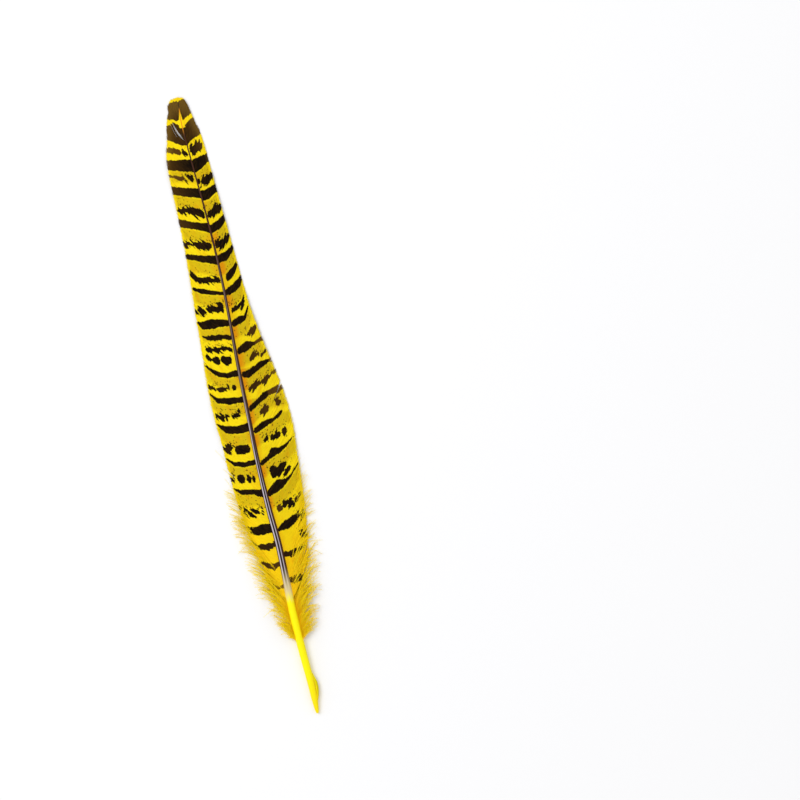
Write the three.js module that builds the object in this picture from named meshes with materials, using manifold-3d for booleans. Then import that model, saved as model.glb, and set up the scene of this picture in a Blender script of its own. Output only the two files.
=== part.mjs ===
// A pheasant tail feather lying flat with its patterned side up, in millimetres.
// The quill points to -Y, the tip to +Y, and the feather rests on the plane z = 0.
// A station is a distance along the feather, measured from the end of the quill.
import * as THREE from 'three';
import { mergeVertices } from 'three/addons/utils/BufferGeometryUtils.js';
import Module from 'manifold-3d';

const FEATHER_LENGTH = 252;
const HALF_SPAN = 18;
const VANE_THICKNESS = 0.6;

// The shaft: a bare quill that tapers into a thin rachis.
const SHAFT_END = 250;
const SHAFT_SIDES = 8;
const SHAFT_STEPS = 30;
const shaftRadius = smoothThrough([
  [0, 0.6], [5, 1.15], [12, 1.4], [28, 1.55], [38, 1.65], [48, 1.55], [60, 1.4], [75, 1.3],
  [100, 1], [130, 0.8], [160, 0.62], [190, 0.45], [220, 0.32], [250, 0.2],
]);
const shaftHeight = smoothThrough([
  [0, 1.1], [12, 1.6], [28, 1.9], [60, 2.7], [100, 3.2], [140, 3.3], [180, 2.8], [220, 1.8], [252, 0.6],
]);
const shaftBend = smoothThrough([
  [0, -0.1], [12, 0], [26, -0.5], [42, -0.8], [56, -0.45], [70, -0.3], [84, -0.9], [104, -1.1],
  [120, -0.7], [140, -0.3], [160, 0.5], [175, 1], [190, 1], [205, 0.6], [220, -0.1], [235, -0.8],
  [242, -0.95], [248, -0.5], [252, -0.4],
]);

// A torn edge of the quill's sheath, standing off the quill's right side.
// Its path is pairs of a station and a distance from the shaft's line.
const SHEATH_PATH = [[5.5, 0.9], [8.5, 2.3], [13, 2.5], [16.5, 1]];
const SHEATH_HEIGHT = 1.7;
const SHEATH_WIDTH = 1.5;
const SHEATH_THICKNESS = 0.5;

// The vanes, with the dense down that each starts as: how wide each side is,
// how many degrees its barbs lean from the shaft, and how much they bow forwards on their way out.
const VANE_START = 32;
const LAST_BARB_ROOT = 249.5;
const LOCKS_PER_VANE = 24;
const LINES_PER_LOCK = 3;
const LOCK_NOTCH = 0.07;
const POINTS_ACROSS = 5;
const ROOT_OVERLAP = 0.15;
const ROOT_RISE = 1 / 3;
const DROOP_POWER = 1.4;
const MARGIN_WAVE = 0.5;
const MARGIN_WAVES = 5;
const BARB_SWEEP = 0.2;
const MARGIN_SEARCH_STEPS = 30;
const leftWidth = smoothThrough([
  [32, 1.2], [45, 4.4], [57, 7.6], [66, 9.6], [75, 10.8], [86, 11.8], [100, 12.6], [112, 12.9], [122, 13.8],
  [135, 14.2], [150, 13.7], [165, 13.5], [180, 12.9], [200, 11.8], [215, 11], [225, 10.3], [231, 9.3],
  [236, 7.6], [242, 6.2], [247, 5], [250, 4], [251.4, 2.8], [252, 0.1],
]);
const rightWidth = smoothThrough([
  [32, 1.2], [45, 4.8], [57, 9.2], [67, 11.8], [75, 13.4], [85, 14.8], [100, 16.2], [112, 17], [124, 16.6],
  [138, 14.4], [152, 11.4], [166, 8.9], [182, 7.6], [205, 6.8], [220, 6.8], [232, 6.8], [238, 6.3],
  [242, 5.3], [246, 4.3], [249, 3.4], [251.2, 2.2], [252, 0.1],
]);
const barbAngle = smoothThrough([
  [32, 30], [50, 36], [75, 42], [120, 38], [180, 32], [215, 25], [238, 16], [246, 9], [249.5, 2],
]);
const barbBow = smoothThrough([[32, 0.15], [205, 0.2], [232, 0.6], [249.5, 0.7]]);

// Splits between locks: the root of the split, where it starts along the barbs and its width at the margin.
const SPLITS = [
  { side: -1, root: 233.5, from: 0.1, width: 0.9 },
  { side: -1, root: 88, from: 0.72, width: 0.7 },
  { side: 1, root: 113, from: 0.6, width: 0.7 },
  { side: 1, root: 65, from: 0.5, width: 0.9 },
];
const SPLIT_OVERSHOOT = 1.15;
const SPLIT_HEIGHT = 12;

// The loose down: tapering locks that leave the dense down and bend outwards.
// The spread follows half a sine wave, of which the down takes the part between two shares.
const DOWN_START = 29;
const DOWN_END = 66;
const DOWN_LOCKS = 20;
const WIDEST_LOCK = 10;
const LOCK_STEPS = 6;
const LOCK_WIDTH = 1.9;
const LOCK_THICKNESS = 0.8;
const LOCK_ROOT_SHARE = 0.15;
const LOCK_CORNERS = 4;
const SPREAD_FROM = 0.18;
const SPREAD_TO = 0.74;
const LONGEST_SHARE = 0.94;
const LENGTH_SPREAD = 0.3;
const RISE_LEAST = 4;
const RISE_BY_SPREAD = 12;
const RISE_AT_RANDOM = 6;
const DOWN_TOP = 5.5;
const DOWN_FLOOR = 0.6;
const CREST_LEAST = 0.3;
const TIP_MOST = 0.5;
const BEND_NEAR_SHAFT = { share: 0.22, forward: 0.5 };
const BEND_FARTHER_OUT = { share: 0.55, forward: 1.05 };
const LOCK_TIP = { share: 1, forward: 0.95 };
const SIDES = [{ side: -1, seed: 29 }, { side: 1, seed: 11 }];

const FEATHER_YELLOW = 0xdfae12;

// A smooth function through pairs of a station and a value.
function smoothThrough(pairs) {
  const slopes = pairs.map((pair, i) => {
    const before = pairs[Math.max(i - 1, 0)];
    const after = pairs[Math.min(i + 1, pairs.length - 1)];
    return (after[1] - before[1]) / (after[0] - before[0]);
  });
  return (station) => {
    let i = 0;
    while (i < pairs.length - 2 && station > pairs[i + 1][0]) i += 1;
    const [start, low] = pairs[i];
    const [end, high] = pairs[i + 1];
    const span = end - start;
    const u = THREE.MathUtils.clamp((station - start) / span, 0, 1);
    const rise = (3 - 2 * u) * u * u;
    const lean = slopes[i] * u * (1 - u) ** 2 - slopes[i + 1] * u * u * (1 - u);
    return low + (high - low) * rise + span * lean;
  };
}

// A repeatable stream of numbers between 0 and 1, from the usual congruence with these three constants.
function seededNumbers(seed) {
  const multiplier = 1664525;
  const increment = 1013904223;
  const modulus = 2 ** 32;
  let state = seed;
  return () => {
    state = (state * multiplier + increment) % modulus;
    return state / modulus;
  };
}

const wasm = await Module();
wasm.setup();

// A solid for joining and cutting, from a closed geometry.
function solidOf(geometry) {
  const bare = geometry.clone();
  bare.deleteAttribute('normal');
  bare.deleteAttribute('uv');
  const merged = mergeVertices(bare);
  const corners = merged.index.array;
  const kept = [];
  for (let i = 0; i < corners.length; i += 3) {
    const [a, b, c] = [corners[i], corners[i + 1], corners[i + 2]];
    if (a !== b && b !== c && c !== a) kept.push(a, b, c);
  }
  return new wasm.Manifold(new wasm.Mesh({
    numProp: 3,
    vertProperties: new Float32Array(merged.attributes.position.array),
    triVerts: new Uint32Array(kept),
  }));
}

// The outer skin of a joined solid, without the small closed pockets between crossing locks.
function outerSkin(solid) {
  return solid.decompose().reduce((largest, each) => (each.volume() > largest.volume() ? each : largest));
}

// A geometry from a joined or cut solid.
function geometryOf(solid) {
  const mesh = solid.getMesh();
  const geometry = new THREE.BufferGeometry();
  geometry.setAttribute('position', new THREE.BufferAttribute(mesh.vertProperties, mesh.numProp));
  geometry.setIndex(new THREE.BufferAttribute(mesh.triVerts, 1));
  geometry.computeVertexNormals();
  return geometry;
}

// A closed geometry from points and triangles that are lists of point numbers.
function closedGeometry(points, triangles) {
  const geometry = new THREE.BufferGeometry();
  geometry.setAttribute('position', new THREE.Float32BufferAttribute(points.flatMap((p) => p.toArray()), 3));
  geometry.setIndex(triangles);
  return geometry;
}

// A point of the feather: its distance from the shaft's line, its station and its height.
function place(across, station, height) {
  return new THREE.Vector3(shaftBend(station) + across, station - FEATHER_LENGTH / 2, height);
}

// The shaft, turned about its line and then laid along its bend and its rise.
function shaftSolid() {
  const profile = [new THREE.Vector2(0, 0)];
  for (let i = 0; i <= SHAFT_STEPS; i += 1) {
    const station = (SHAFT_END * i) / SHAFT_STEPS;
    profile.push(new THREE.Vector2(shaftRadius(station), station));
  }
  profile.push(new THREE.Vector2(0, SHAFT_END));
  const geometry = new THREE.LatheGeometry(profile, SHAFT_SIDES);
  const position = geometry.attributes.position;
  for (let i = 0; i < position.count; i += 1) {
    const station = position.getY(i);
    const laid = place(position.getX(i), station, shaftHeight(station) + position.getZ(i));
    position.setXYZ(i, laid.x, laid.y, laid.z);
  }
  return solidOf(geometry);
}

// The station where the barb that leaves the shaft at a root meets the margin of its vane, found by halving.
function marginStation(root, width) {
  const advance = 1 / Math.tan(THREE.MathUtils.degToRad(barbAngle(root)));
  let low = root;
  let high = FEATHER_LENGTH;
  for (let i = 0; i < MARGIN_SEARCH_STEPS; i += 1) {
    const middle = (low + high) / 2;
    if (middle - root < width(middle) * advance) low = middle;
    else high = middle;
  }
  return low;
}

// The line of one barb over a vane, from the shaft at v = 0 to the margin at v = 1.
function barbLine(side, root, reach) {
  const width = side < 0 ? leftWidth : rightWidth;
  const bow = barbBow(root);
  const margin = marginStation(root, width);
  const span = width(margin) * reach;
  const rootHeight = shaftHeight(root) + shaftRadius(root) * ROOT_RISE;
  const wave = Math.sin((MARGIN_WAVES * 2 * Math.PI * margin) / FEATHER_LENGTH + side);
  const marginHeight = VANE_THICKNESS / 2 + (MARGIN_WAVE * (1 + wave)) / 2;
  return (v) => {
    const across = span * v * (1 + bow * (1 - v)) - ROOT_OVERLAP * (1 - v);
    const station = root + (margin - root) * reach * v * (1 - BARB_SWEEP * (1 - v));
    const height = rootHeight + (marginHeight - rootHeight) * v ** DROOP_POWER;
    return place(side * across, station, height);
  };
}

// One vane: barb lines side by side make a thin drooping sheet whose margin is notched lock by lock.
function vaneSolid(side) {
  const lines = LOCKS_PER_VANE * LINES_PER_LOCK;
  const top = [];
  const bottom = [];
  for (let k = 0; k < lines; k += 1) {
    const root = VANE_START + ((LAST_BARB_ROOT - VANE_START) * k) / (lines - 1);
    const phase = (k % LINES_PER_LOCK) / (LINES_PER_LOCK - 1);
    const line = barbLine(side, root, 1 - LOCK_NOTCH * (1 - phase));
    for (let j = 0; j < POINTS_ACROSS; j += 1) {
      const point = line(j / (POINTS_ACROSS - 1));
      top.push(point.clone().setZ(point.z + VANE_THICKNESS / 2));
      bottom.push(point.clone().setZ(point.z - VANE_THICKNESS / 2));
    }
  }
  const under = top.length;
  const triangles = [];
  const addQuad = (a, b, c, d) => {
    if (side > 0) triangles.push(a, b, c, a, c, d);
    else triangles.push(a, c, b, a, d, c);
  };
  const at = (k, j) => k * POINTS_ACROSS + j;
  const last = POINTS_ACROSS - 1;
  for (let k = 0; k < lines - 1; k += 1) {
    for (let j = 0; j < last; j += 1) {
      addQuad(at(k, j), at(k, j + 1), at(k + 1, j + 1), at(k + 1, j));
      addQuad(under + at(k, j), under + at(k + 1, j), under + at(k + 1, j + 1), under + at(k, j + 1));
    }
    addQuad(at(k, 0), at(k + 1, 0), under + at(k + 1, 0), under + at(k, 0));
    addQuad(at(k, last), under + at(k, last), under + at(k + 1, last), at(k + 1, last));
  }
  for (let j = 0; j < last; j += 1) {
    addQuad(at(0, j), under + at(0, j), under + at(0, j + 1), at(0, j + 1));
    addQuad(at(lines - 1, j), at(lines - 1, j + 1), under + at(lines - 1, j + 1), under + at(lines - 1, j));
  }
  return solidOf(closedGeometry([...top, ...bottom], triangles));
}

// The wedge of air in a split, from its inner end out past the margin.
function splitSolid({ side, root, from, width }) {
  const line = barbLine(side, root, 1);
  const inner = line(from);
  const outer = line(1).sub(inner).multiplyScalar(SPLIT_OVERSHOOT).add(inner);
  const across = new THREE.Vector2(inner.y - outer.y, outer.x - inner.x).setLength(width / 2);
  const outline = new THREE.Shape([
    new THREE.Vector2(inner.x, inner.y),
    new THREE.Vector2(outer.x - across.x, outer.y - across.y),
    new THREE.Vector2(outer.x + across.x, outer.y + across.y),
  ]);
  const wedge = new THREE.ExtrudeGeometry(outline, { depth: SPLIT_HEIGHT, bevelEnabled: false });
  return solidOf(wedge.translate(0, 0, -SPLIT_HEIGHT / 2));
}

// A flat blade along a curve, as wide as half a sine wave, ending in a point.
function bladeSolid(curve, width, thickness) {
  const up = new THREE.Vector3(0, 0, 1);
  const points = [];
  const triangles = [];
  for (let i = 0; i < LOCK_STEPS; i += 1) {
    const u = i / LOCK_STEPS;
    const fullness = Math.sin(Math.PI * (LOCK_ROOT_SHARE + (1 - LOCK_ROOT_SHARE) * u));
    const along = curve.getTangent(u);
    const sideways = new THREE.Vector3().crossVectors(along, up).setLength((width * fullness) / 2);
    const upwards = new THREE.Vector3().crossVectors(sideways, along).setLength((thickness * fullness) / 2);
    const centre = curve.getPoint(u);
    points.push(centre.clone().add(sideways), centre.clone().add(upwards));
    points.push(centre.clone().sub(sideways), centre.clone().sub(upwards));
  }
  points.push(curve.getPoint(1));
  triangles.push(0, 1, 2, 0, 2, 3);
  for (let i = 0; i < LOCK_STEPS; i += 1) {
    for (let corner = 0; corner < LOCK_CORNERS; corner += 1) {
      const next = (corner + 1) % LOCK_CORNERS;
      const a = i * LOCK_CORNERS + corner;
      const b = i * LOCK_CORNERS + next;
      if (i === LOCK_STEPS - 1) triangles.push(a, points.length - 1, b);
      else triangles.push(a, a + LOCK_CORNERS, b + LOCK_CORNERS, a, b + LOCK_CORNERS, b);
    }
  }
  return solidOf(closedGeometry(points, triangles));
}

// The torn edge of the sheath on the quill.
function sheathSolid() {
  const path = SHEATH_PATH.map(([station, across]) => place(across, station, SHEATH_HEIGHT));
  return bladeSolid(new THREE.CubicBezierCurve3(...path), SHEATH_WIDTH, SHEATH_THICKNESS);
}

// All the loose down on one side. The lock in the widest place reaches exactly to the half span.
function downSolids(side, seed) {
  const random = seededNumbers(seed);
  const between = DOWN_TOP - DOWN_FLOOR;
  const locks = [];
  for (let i = 0; i < DOWN_LOCKS; i += 1) {
    const along = i / (DOWN_LOCKS - 1);
    const rootStation = DOWN_START + (DOWN_END - DOWN_START) * along;
    const spread = Math.sin(Math.PI * (SPREAD_FROM + (SPREAD_TO - SPREAD_FROM) * along));
    const length = i === WIDEST_LOCK ? 1 : LONGEST_SHARE - LENGTH_SPREAD * random();
    const span = i === WIDEST_LOCK ? HALF_SPAN : HALF_SPAN * spread * length;
    const rise = RISE_LEAST + RISE_BY_SPREAD * spread + RISE_AT_RANDOM * random();
    const crest = DOWN_FLOOR + between * (CREST_LEAST + (1 - CREST_LEAST) * random());
    const tipHeight = DOWN_FLOOR + between * TIP_MOST * random();
    const root = place(0, rootStation, shaftHeight(rootStation));
    const out = ({ share, forward }, height) => (
      new THREE.Vector3(root.x + (side * span - root.x) * share, root.y + rise * forward, height)
    );
    locks.push(bladeSolid(new THREE.CubicBezierCurve3(
      root, out(BEND_NEAR_SHAFT, root.z), out(BEND_FARTHER_OUT, crest), out(LOCK_TIP, tipHeight),
    ), LOCK_WIDTH, LOCK_THICKNESS));
  }
  return locks;
}

function featherMesh() {
  let solid = shaftSolid().add(sheathSolid());
  for (const { side, seed } of SIDES) {
    let vane = vaneSolid(side);
    for (const split of SPLITS.filter((each) => each.side === side)) {
      vane = vane.subtract(splitSolid(split));
    }
    solid = solid.add(vane);
    for (const lock of downSolids(side, seed)) solid = solid.add(lock);
  }
  const material = new THREE.MeshStandardMaterial({ color: FEATHER_YELLOW, roughness: 0.7, metalness: 0 });
  const mesh = new THREE.Mesh(geometryOf(outerSkin(solid)), material);
  mesh.name = 'feather';
  return mesh;
}

const model = new THREE.Group();
model.add(featherMesh());

export default model;
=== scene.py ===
"""A pheasant tail feather lying flat, patterned side up, seen from straight above.

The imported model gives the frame: +Y from the quill to the tip, +Z up, metres.
A station is a distance in millimetres along the feather from the end of the quill.
"""

import math

import bpy
import numpy as np
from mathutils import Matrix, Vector


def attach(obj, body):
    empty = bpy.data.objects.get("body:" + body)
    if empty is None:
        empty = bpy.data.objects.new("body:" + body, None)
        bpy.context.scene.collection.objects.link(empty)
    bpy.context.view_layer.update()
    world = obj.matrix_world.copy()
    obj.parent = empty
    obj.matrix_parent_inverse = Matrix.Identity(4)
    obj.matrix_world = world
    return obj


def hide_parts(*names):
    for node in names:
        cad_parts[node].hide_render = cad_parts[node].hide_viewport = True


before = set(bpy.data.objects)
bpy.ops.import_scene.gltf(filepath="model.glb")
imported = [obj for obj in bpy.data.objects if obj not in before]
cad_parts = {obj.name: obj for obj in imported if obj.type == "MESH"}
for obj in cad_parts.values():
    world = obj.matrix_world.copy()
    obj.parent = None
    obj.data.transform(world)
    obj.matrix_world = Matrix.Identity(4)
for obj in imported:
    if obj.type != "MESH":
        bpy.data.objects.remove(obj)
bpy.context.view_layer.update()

MM = 0.001
NODE = "feather"
BODY = "root"

# Driving dimensions, in millimetres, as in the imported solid
FEATHER_LENGTH = 252.0
HALF_SPAN = 18.0
SHAFT_END = 250.0
LAST_BARB_ROOT = 249.5
MARGIN_WAVE = 0.5
MARGIN_WAVES = 5
MARGIN_HEIGHT = 0.3
DROOP_POWER = 1.4
BARB_SWEEP = 0.2
ROOT_RISE = 1 / 3
MARGIN_SEARCH_STEPS = 30
SHEATH_PATH = [(5.5, 0.9), (8.5, 2.3), (13, 2.5), (16.5, 1)]
SHEATH_HEIGHT = 1.7

SHAFT_RADIUS = [
    (0, 0.6), (5, 1.15), (12, 1.4), (28, 1.55), (38, 1.65), (48, 1.55), (60, 1.4), (75, 1.3),
    (100, 1), (130, 0.8), (160, 0.62), (190, 0.45), (220, 0.32), (250, 0.2),
]
SHAFT_HEIGHT = [
    (0, 1.1), (12, 1.6), (28, 1.9), (60, 2.7), (100, 3.2), (140, 3.3), (180, 2.8), (220, 1.8), (252, 0.6),
]
SHAFT_BEND = [
    (0, -0.1), (12, 0), (26, -0.5), (42, -0.8), (56, -0.45), (70, -0.3), (84, -0.9), (104, -1.1),
    (120, -0.7), (140, -0.3), (160, 0.5), (175, 1), (190, 1), (205, 0.6), (220, -0.1), (235, -0.8),
    (242, -0.95), (248, -0.5), (252, -0.4),
]
LEFT_WIDTH = [
    (32, 1.2), (45, 4.4), (57, 7.6), (66, 9.6), (75, 10.8), (86, 11.8), (100, 12.6), (112, 12.9),
    (122, 13.8), (135, 14.2), (150, 13.7), (165, 13.5), (180, 12.9), (200, 11.8), (215, 11), (225, 10.3),
    (231, 9.3), (236, 7.6), (242, 6.2), (247, 5), (250, 4), (251.4, 2.8), (252, 0.1),
]
RIGHT_WIDTH = [
    (32, 1.2), (45, 4.8), (57, 9.2), (67, 11.8), (75, 13.4), (85, 14.8), (100, 16.2), (112, 17), (124, 16.6),
    (138, 14.4), (152, 11.4), (166, 8.9), (182, 7.6), (205, 6.8), (220, 6.8), (232, 6.8), (238, 6.3),
    (242, 5.3), (246, 4.3), (249, 3.4), (251.2, 2.2), (252, 0.1),
]
BARB_ANGLE = [(32, 30), (50, 36), (75, 42), (120, 38), (180, 32), (215, 25), (238, 16), (246, 9), (249.5, 2)]
BARB_BOW = [(32, 0.15), (205, 0.2), (232, 0.6), (249.5, 0.7)]


def smooth_through(pairs):
    """A smooth function through pairs of a station and a value, for arrays of stations."""
    at = np.array([pair[0] for pair in pairs], float)
    value = np.array([pair[1] for pair in pairs], float)
    before = np.maximum(np.arange(len(at)) - 1, 0)
    after = np.minimum(np.arange(len(at)) + 1, len(at) - 1)
    slope = (value[after] - value[before]) / (at[after] - at[before])

    def curve(station):
        station = np.asarray(station, float)
        i = np.clip(np.searchsorted(at, station) - 1, 0, len(at) - 2)
        span = at[i + 1] - at[i]
        u = np.clip((station - at[i]) / span, 0, 1)
        rise = (3 - 2 * u) * u * u
        lean = slope[i] * u * (1 - u) ** 2 - slope[i + 1] * u * u * (1 - u)
        return value[i] + (value[i + 1] - value[i]) * rise + span * lean

    return curve


shaft_radius = smooth_through(SHAFT_RADIUS)
shaft_height = smooth_through(SHAFT_HEIGHT)
shaft_bend = smooth_through(SHAFT_BEND)
barb_angle = smooth_through(BARB_ANGLE)
barb_bow = smooth_through(BARB_BOW)
WIDTH_OF = {-1: smooth_through(LEFT_WIDTH), 1: smooth_through(RIGHT_WIDTH)}

# How ragged the edges of a bar are, and how dark it is
SMOOTH, FUZZY, COMB = 0.2, 0.35, 1.0
BLACK, DARK, BROWN, OLIVE = 1.0, 0.85, 0.7, 0.5


def bar(teeth, dark, *points):
    """A bar: how ragged, how dark all over or near the shaft and far out, and the points of its middle line.

    A point is a distance from the shaft, a station and the bar's thickness there.
    """
    near, far = np.broadcast_to(dark, 2)
    across, station, thickness = np.array(points, float).T
    shape = {"across": across, "station": station, "half": thickness / 2}
    return {"teeth": teeth, "near": near, "far": far, **shape}


LEFT_BARS = [
    (SMOOTH, BROWN, (0.3, 246.6, 7.6), (1.8, 246.6, 7.6), (4.1, 246.9, 6.2), (6, 247.8, 4.6)),
    (SMOOTH, (DARK, BROWN), (0, 235.9, 7.1), (1.8, 236.9, 7.9), (4.1, 238, 7.4), (7.4, 239.4, 6.4)),
    (COMB, (BLACK, DARK), (0.9, 229.2, 2.3), (2.6, 229.5, 2.2)),
    (FUZZY, (BROWN, OLIVE), (3.2, 230.2, 1.7), (5.5, 231.2, 2.2), (9, 232.4, 2)),
    (SMOOTH, (BLACK, BROWN), (0, 223.9, 4.6), (5, 225, 4.1), (10.4, 226.5, 3.8)),
    (COMB, BLACK, (1.3, 218.6, 2.6), (2.6, 218.9, 3), (4.1, 219.2, 2.3)),
    (FUZZY, (BROWN, OLIVE), (4.7, 219.6, 2.2), (6.2, 219.9, 2), (8, 220.9, 1.1), (10.8, 222, 1)),
    (SMOOTH, (BLACK, BROWN), (0, 212.3, 4.1), (6.4, 214.3, 3.5), (11.2, 216.4, 3)),
    (COMB, (BLACK, DARK), (0.9, 204.1, 2.8), (2.5, 204.3, 3.5), (4, 205.3, 2.9), (5.5, 206, 2.3),
        (6.5, 206.8, 2.8), (8, 207.2, 2.4), (10.6, 208, 1.1)),
    (SMOOTH, (BLACK, BROWN), (0, 197.9, 3.8), (3, 198.9, 3.2), (6.4, 200.4, 3), (11.8, 203, 3)),
    (COMB, (BLACK, DARK), (1.1, 191.2, 2.4), (2.5, 190.7, 2.6), (4, 191.8, 2.5), (6.4, 192.9, 2.6),
        (8.6, 193.8, 2.5), (11.2, 194.3, 2.2), (12, 194.8, 0.9)),
    (SMOOTH, (BLACK, DARK), (0, 185, 3.4), (3.5, 186, 3), (6.4, 187, 2.6), (12.2, 189.3, 2)),
    (COMB, BLACK, (0.9, 177.1, 1.9), (2.5, 177.2, 2.7), (4, 178, 2.3), (6.4, 178.6, 2.3),
        (8.6, 179.2, 2.5), (10.4, 180.3, 2.1), (11.9, 181.9, 1.1)),
    (SMOOTH, BLACK, (0, 171.3, 1.6), (4.5, 172.7, 2), (8.6, 174.1, 2.2), (12.2, 175.9, 0.9)),
    (COMB, BLACK, (1.8, 165.9, 2.4), (3.4, 166, 3), (5, 165.9, 2.5), (6.4, 166.3, 2),
        (8.6, 166.2, 2.6), (10, 166.3, 3.4), (11.4, 166.9, 2), (12.8, 167.2, 0.6)),
    (SMOOTH, BLACK, (0, 159.5, 2), (6.4, 160.4, 3.5), (11.4, 160.9, 3.1), (12.9, 162.6, 0.8)),
    (FUZZY, BLACK, (0.4, 153.5, 1.5), (4.1, 154.8, 2.4), (8.6, 155.5, 1.9), (12, 156.4, 0.5)),
    (COMB, BLACK, (1, 149.2, 2), (3, 149.6, 2.5), (6, 150.1, 2), (8.5, 150.4, 1.8), (10, 150.7, 2.2),
        (12.1, 151.4, 0.9)),
    (FUZZY, BLACK, (2.2, 145.2, 3), (4.2, 145, 3.9), (6, 145.7, 2.4)),
    (FUZZY, BLACK, (7, 145.4, 2.6), (8.2, 145.9, 3.2), (9.5, 146.4, 2)),
    (FUZZY, BLACK, (10.1, 146.8, 1.8), (11.4, 148, 2.8), (12, 148.5, 1.6)),
    (SMOOTH, BLACK, (0, 139.4, 2.2), (5, 139.3, 2.2), (8.5, 140.6, 2.3), (10.9, 142.5, 1.4),
        (13.3, 145.3, 0.5)),
    (FUZZY, BLACK, (2.6, 133.7, 1.6), (3.8, 133.7, 1.6)),
    (COMB, (BLACK, DARK), (5.3, 134.3, 1.5), (8.6, 134.6, 2.3), (10, 135, 2)),
    (COMB, (BLACK, DARK), (10.8, 135.4, 1.8), (13.3, 136.2, 1.3)),
    (SMOOTH, BLACK, (0, 128.7, 2.5), (6.6, 129.1, 2.7), (10.9, 130.3, 2.4), (13.5, 133.5, 0.6)),
    (FUZZY, BLACK, (1, 123.3, 0.5), (1.2, 123.3, 0.5)),
    (COMB, BLACK, (3, 123.4, 2.4), (4.6, 122.7, 3.4), (6.3, 123.3, 2.6)),
    (COMB, BLACK, (7.6, 123.4, 2.5), (8.8, 123.4, 2.5)),
    (COMB, BLACK, (9.5, 123.6, 2.7), (11.2, 123.8, 2.5), (12.7, 124.5, 1.1)),
    (SMOOTH, BLACK, (0, 117.4, 3), (5.5, 117, 3), (10, 118.5, 3), (13.2, 121.1, 0.6)),
    (FUZZY, BLACK, (2.2, 109, 3.4), (7.4, 109.1, 3.6)),
    (COMB, BLACK, (7.9, 111.2, 1.8), (8.5, 111.2, 1.8)),
    (COMB, (BLACK, DARK), (9.1, 110.4, 3.2), (11.4, 110.6, 3), (12.2, 111.3, 1.6)),
    (SMOOTH, BLACK, (0, 103.3, 2.4), (5.5, 103.2, 2.1), (9.5, 104.3, 1.8), (12.3, 107.1, 0.4)),
    (COMB, BLACK, (2.6, 96.7, 3), (3.3, 96.7, 3)),
    (COMB, BLACK, (4.5, 97.6, 3.2), (5.3, 97.7, 3)),
    (FUZZY, BLACK, (6.8, 97.6, 3), (8, 97.6, 3.6), (9.1, 98, 2.8)),
    (COMB, (BLACK, DARK), (10.7, 98.8, 2.4), (12, 99, 2)),
    (SMOOTH, BLACK, (0, 90.6, 3), (3.2, 91.2, 2.6), (4, 91.9, 1.9), (9.1, 92.8, 2.1), (11.9, 94.9, 0.5)),
    (COMB, BLACK, (2.4, 83.3, 2.5), (3, 83.3, 2.4)),
    (COMB, BLACK, (4.2, 83.7, 3.2), (8, 83.8, 3.2)),
    (COMB, BLACK, (8.4, 84.2, 3.8), (9.8, 84.4, 3.6)),
    (COMB, (BLACK, DARK), (10.7, 86.1, 2), (11.4, 86.3, 1.8)),
    (FUZZY, BLACK, (0, 76.5, 2.8), (5.1, 76.3, 3.7), (9.4, 76.9, 2.1), (10.6, 78.6, 0.6)),
    (FUZZY, DARK, (0, 69.7, 1.7), (4.3, 69, 2.2), (8.3, 70.1, 1.5), (10, 72.8, 0.8)),
    (FUZZY, BROWN, (0, 61.9, 1.6), (3.7, 61, 2.4), (6.8, 62.3, 1.1), (8.2, 63.7, 0.6)),
    (FUZZY, OLIVE, (0.6, 52.6, 2), (4, 52.8, 1.6), (6.5, 53.5, 1)),
]
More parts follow.
